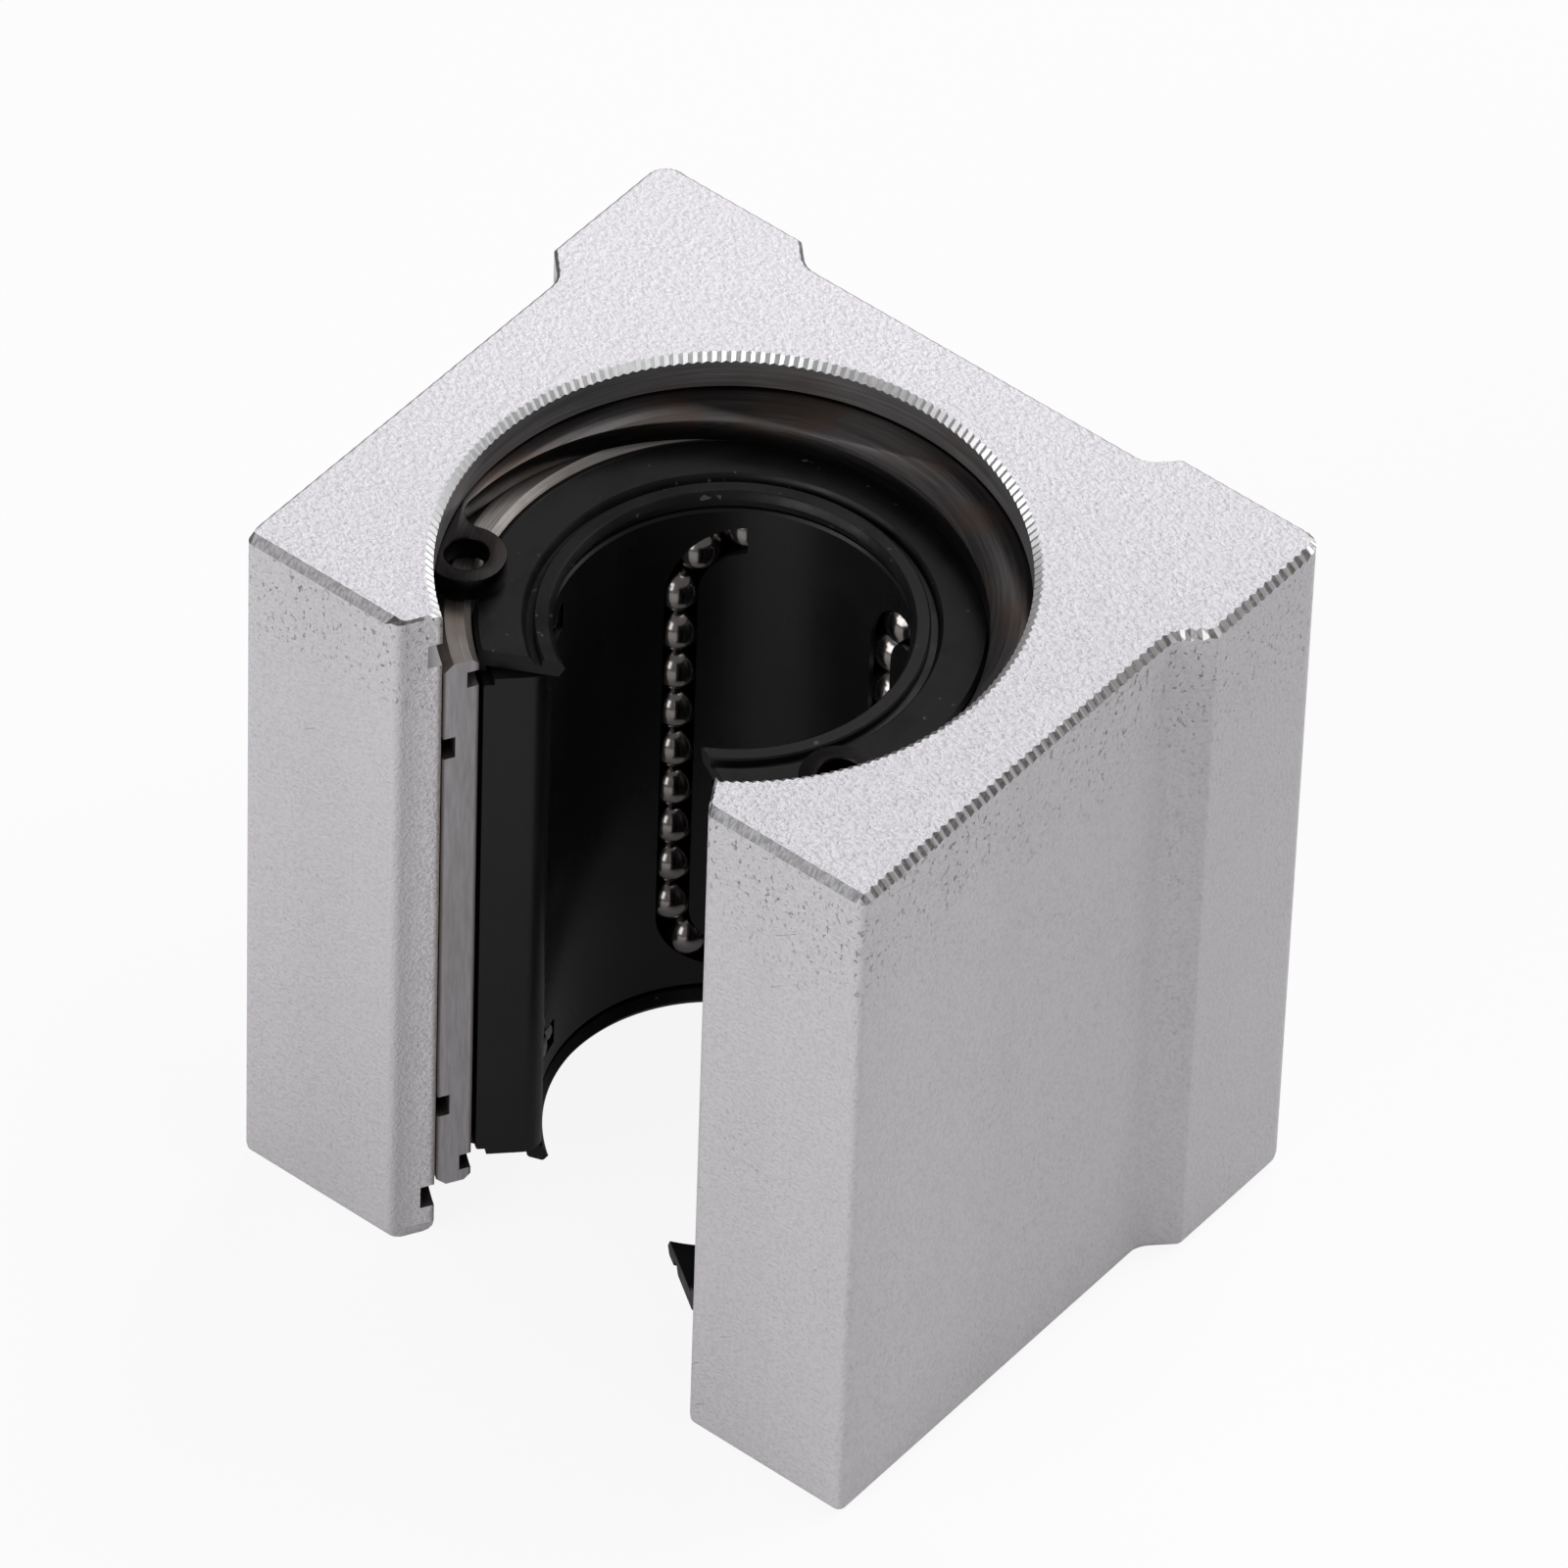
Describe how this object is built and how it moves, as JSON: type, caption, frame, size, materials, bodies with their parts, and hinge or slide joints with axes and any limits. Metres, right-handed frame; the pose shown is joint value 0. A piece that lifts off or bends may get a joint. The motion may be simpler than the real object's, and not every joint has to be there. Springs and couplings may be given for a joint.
{
  "type": "open linear ball bushing in pillow block",
  "caption": "Square aluminium pillow block with an open linear ball bushing inside, which slides along a supported round shaft.",
  "frame": {"origin": "centre of the bounding box, on the face of the end that the block stands on", "axes": "+Z along the bore axis, +Y out of the mounting pads, the shaft slot opens towards -Y, +X across the pads; the bore axis is at x 0, y -0.0035"},
  "size_m": [0.048, 0.039, 0.05],
  "materials": {
    "block_aluminium": "extruded and fine blasted, milled ends and edges",
    "bearing_steel": "hardened, ground outside, sawn slot faces",
    "ball_steel": "polished bearing balls",
    "cage_plastic": "moulded black acetal, semi-gloss",
    "seal_rubber": "moulded black nitrile rubber",
    "spring_steel": "oiled spring steel, turned face marks",
    "blackened_steel": "black oxide"
  },
  "bodies": {
    "housing": {"block_housing": "block_aluminium", "outer_sleeve": "bearing_steel", "ball_cage": "cage_plastic", "end_seal_top": "seal_rubber", "end_seal_bottom": "seal_rubber", "circlip_top": "spring_steel", "circlip_bottom": "spring_steel", "set_screw": "blackened_steel"},
    "circuit_1_loaded_row": {"circuit_1_loaded_row": "ball_steel"},
    "circuit_1_return_row": {"circuit_1_return_row": "ball_steel"},
    "circuit_1_top_turn": {"circuit_1_top_turn": "ball_steel"},
    "circuit_1_bottom_turn": {"circuit_1_bottom_turn": "ball_steel"},
    "circuit_2_loaded_row": {"circuit_2_loaded_row": "ball_steel"},
    "circuit_2_return_row": {"circuit_2_return_row": "ball_steel"},
    "circuit_2_top_turn": {"circuit_2_top_turn": "ball_steel"},
    "circuit_2_bottom_turn": {"circuit_2_bottom_turn": "ball_steel"},
    "circuit_3_loaded_row": {"circuit_3_loaded_row": "ball_steel"},
    "circuit_3_return_row": {"circuit_3_return_row": "ball_steel"},
    "circuit_3_top_turn": {"circuit_3_top_turn": "ball_steel"},
    "circuit_3_bottom_turn": {"circuit_3_bottom_turn": "ball_steel"},
    "circuit_4_loaded_row": {"circuit_4_loaded_row": "ball_steel"},
    "circuit_4_return_row": {"circuit_4_return_row": "ball_steel"},
    "circuit_4_top_turn": {"circuit_4_top_turn": "ball_steel"},
    "circuit_4_bottom_turn": {"circuit_4_bottom_turn": "ball_steel"}
  },
  "joints": [
    {"name": "circuit_1_loaded_slide", "type": "slide", "parent": "housing", "child": "circuit_1_loaded_row", "axis": [0, 0, 1], "range_m": [-0.00156, 0.00156]},
    {"name": "circuit_1_return_slide", "type": "slide", "parent": "housing", "child": "circuit_1_return_row", "axis": [0, 0, 1], "range_m": [-0.00156, 0.00156]},
    {"name": "circuit_1_top_swing", "type": "hinge", "parent": "housing", "child": "circuit_1_top_turn", "pos_m": [-0.01144, -0.00691, 0.03783], "axis": [-0.8561, -0.5168, 0], "range_deg": [-22.6, 22.6]},
    {"name": "circuit_1_bottom_swing", "type": "hinge", "parent": "housing", "child": "circuit_1_bottom_turn", "pos_m": [-0.01144, -0.00691, 0.01217], "axis": [-0.8561, -0.5168, 0], "range_deg": [-22.6, 22.6]},
    {"name": "circuit_2_loaded_slide", "type": "slide", "parent": "housing", "child": "circuit_2_loaded_row", "axis": [0, 0, 1], "range_m": [-0.00156, 0.00156]},
    {"name": "circuit_2_return_slide", "type": "slide", "parent": "housing", "child": "circuit_2_return_row", "axis": [0, 0, 1], "range_m": [-0.00156, 0.00156]},
    {"name": "circuit_2_top_swing", "type": "hinge", "parent": "housing", "child": "circuit_2_top_turn", "pos_m": [-0.00678, 0.00633, 0.03783], "axis": [-0.756, 0.6545, 0], "range_deg": [-22.6, 22.6]},
    {"name": "circuit_2_bottom_swing", "type": "hinge", "parent": "housing", "child": "circuit_2_bottom_turn", "pos_m": [-0.00678, 0.00633, 0.01217], "axis": [-0.756, 0.6545, 0], "range_deg": [-22.6, 22.6]},
    {"name": "circuit_3_loaded_slide", "type": "slide", "parent": "housing", "child": "circuit_3_loaded_row", "axis": [0, 0, 1], "range_m": [-0.00156, 0.00156]},
    {"name": "circuit_3_return_slide", "type": "slide", "parent": "housing", "child": "circuit_3_return_row", "axis": [0, 0, 1], "range_m": [-0.00156, 0.00156]},
    {"name": "circuit_3_top_swing", "type": "hinge", "parent": "housing", "child": "circuit_3_top_turn", "pos_m": [0.00725, 0.00598, 0.03783], "axis": [0.3889, 0.9213, 0], "range_deg": [-22.6, 22.6]},
    {"name": "circuit_3_bottom_swing", "type": "hinge", "parent": "housing", "child": "circuit_3_bottom_turn", "pos_m": [0.00725, 0.00598, 0.01217], "axis": [0.3889, 0.9213, 0], "range_deg": [-22.6, 22.6]},
    {"name": "circuit_4_loaded_slide", "type": "slide", "parent": "housing", "child": "circuit_4_loaded_row", "axis": [0, 0, 1], "range_m": [-0.00156, 0.00156]},
    {"name": "circuit_4_return_slide", "type": "slide", "parent": "housing", "child": "circuit_4_return_row", "axis": [0, 0, 1], "range_m": [-0.00156, 0.00156]},
    {"name": "circuit_4_top_swing", "type": "hinge", "parent": "housing", "child": "circuit_4_top_turn", "pos_m": [0.01126, -0.00747, 0.03783], "axis": [0.9964, -0.0851, 0], "range_deg": [-22.6, 22.6]},
    {"name": "circuit_4_bottom_swing", "type": "hinge", "parent": "housing", "child": "circuit_4_bottom_turn", "pos_m": [0.01126, -0.00747, 0.01217], "axis": [0.9964, -0.0851, 0], "range_deg": [-22.6, 22.6]}
  ],
  "couplings": [
    {"joint": "circuit_1_return_slide", "follows": "circuit_1_loaded_slide", "ratio": -1},
    {"joint": "circuit_1_top_swing", "follows": "circuit_1_loaded_slide", "rad_per_m": 251.18},
    {"joint": "circuit_1_bottom_swing", "follows": "circuit_1_loaded_slide", "rad_per_m": 251.18},
    {"joint": "circuit_2_return_slide", "follows": "circuit_2_loaded_slide", "ratio": -1},
    {"joint": "circuit_2_top_swing", "follows": "circuit_2_loaded_slide", "rad_per_m": 251.18},
    {"joint": "circuit_2_bottom_swing", "follows": "circuit_2_loaded_slide", "rad_per_m": 251.18},
    {"joint": "circuit_3_return_slide", "follows": "circuit_3_loaded_slide", "ratio": -1},
    {"joint": "circuit_3_top_swing", "follows": "circuit_3_loaded_slide", "rad_per_m": 251.18},
    {"joint": "circuit_3_bottom_swing", "follows": "circuit_3_loaded_slide", "rad_per_m": 251.18},
    {"joint": "circuit_4_return_slide", "follows": "circuit_4_loaded_slide", "ratio": -1},
    {"joint": "circuit_4_top_swing", "follows": "circuit_4_loaded_slide", "rad_per_m": 251.18},
    {"joint": "circuit_4_bottom_swing", "follows": "circuit_4_loaded_slide", "rad_per_m": 251.18}
  ]
}
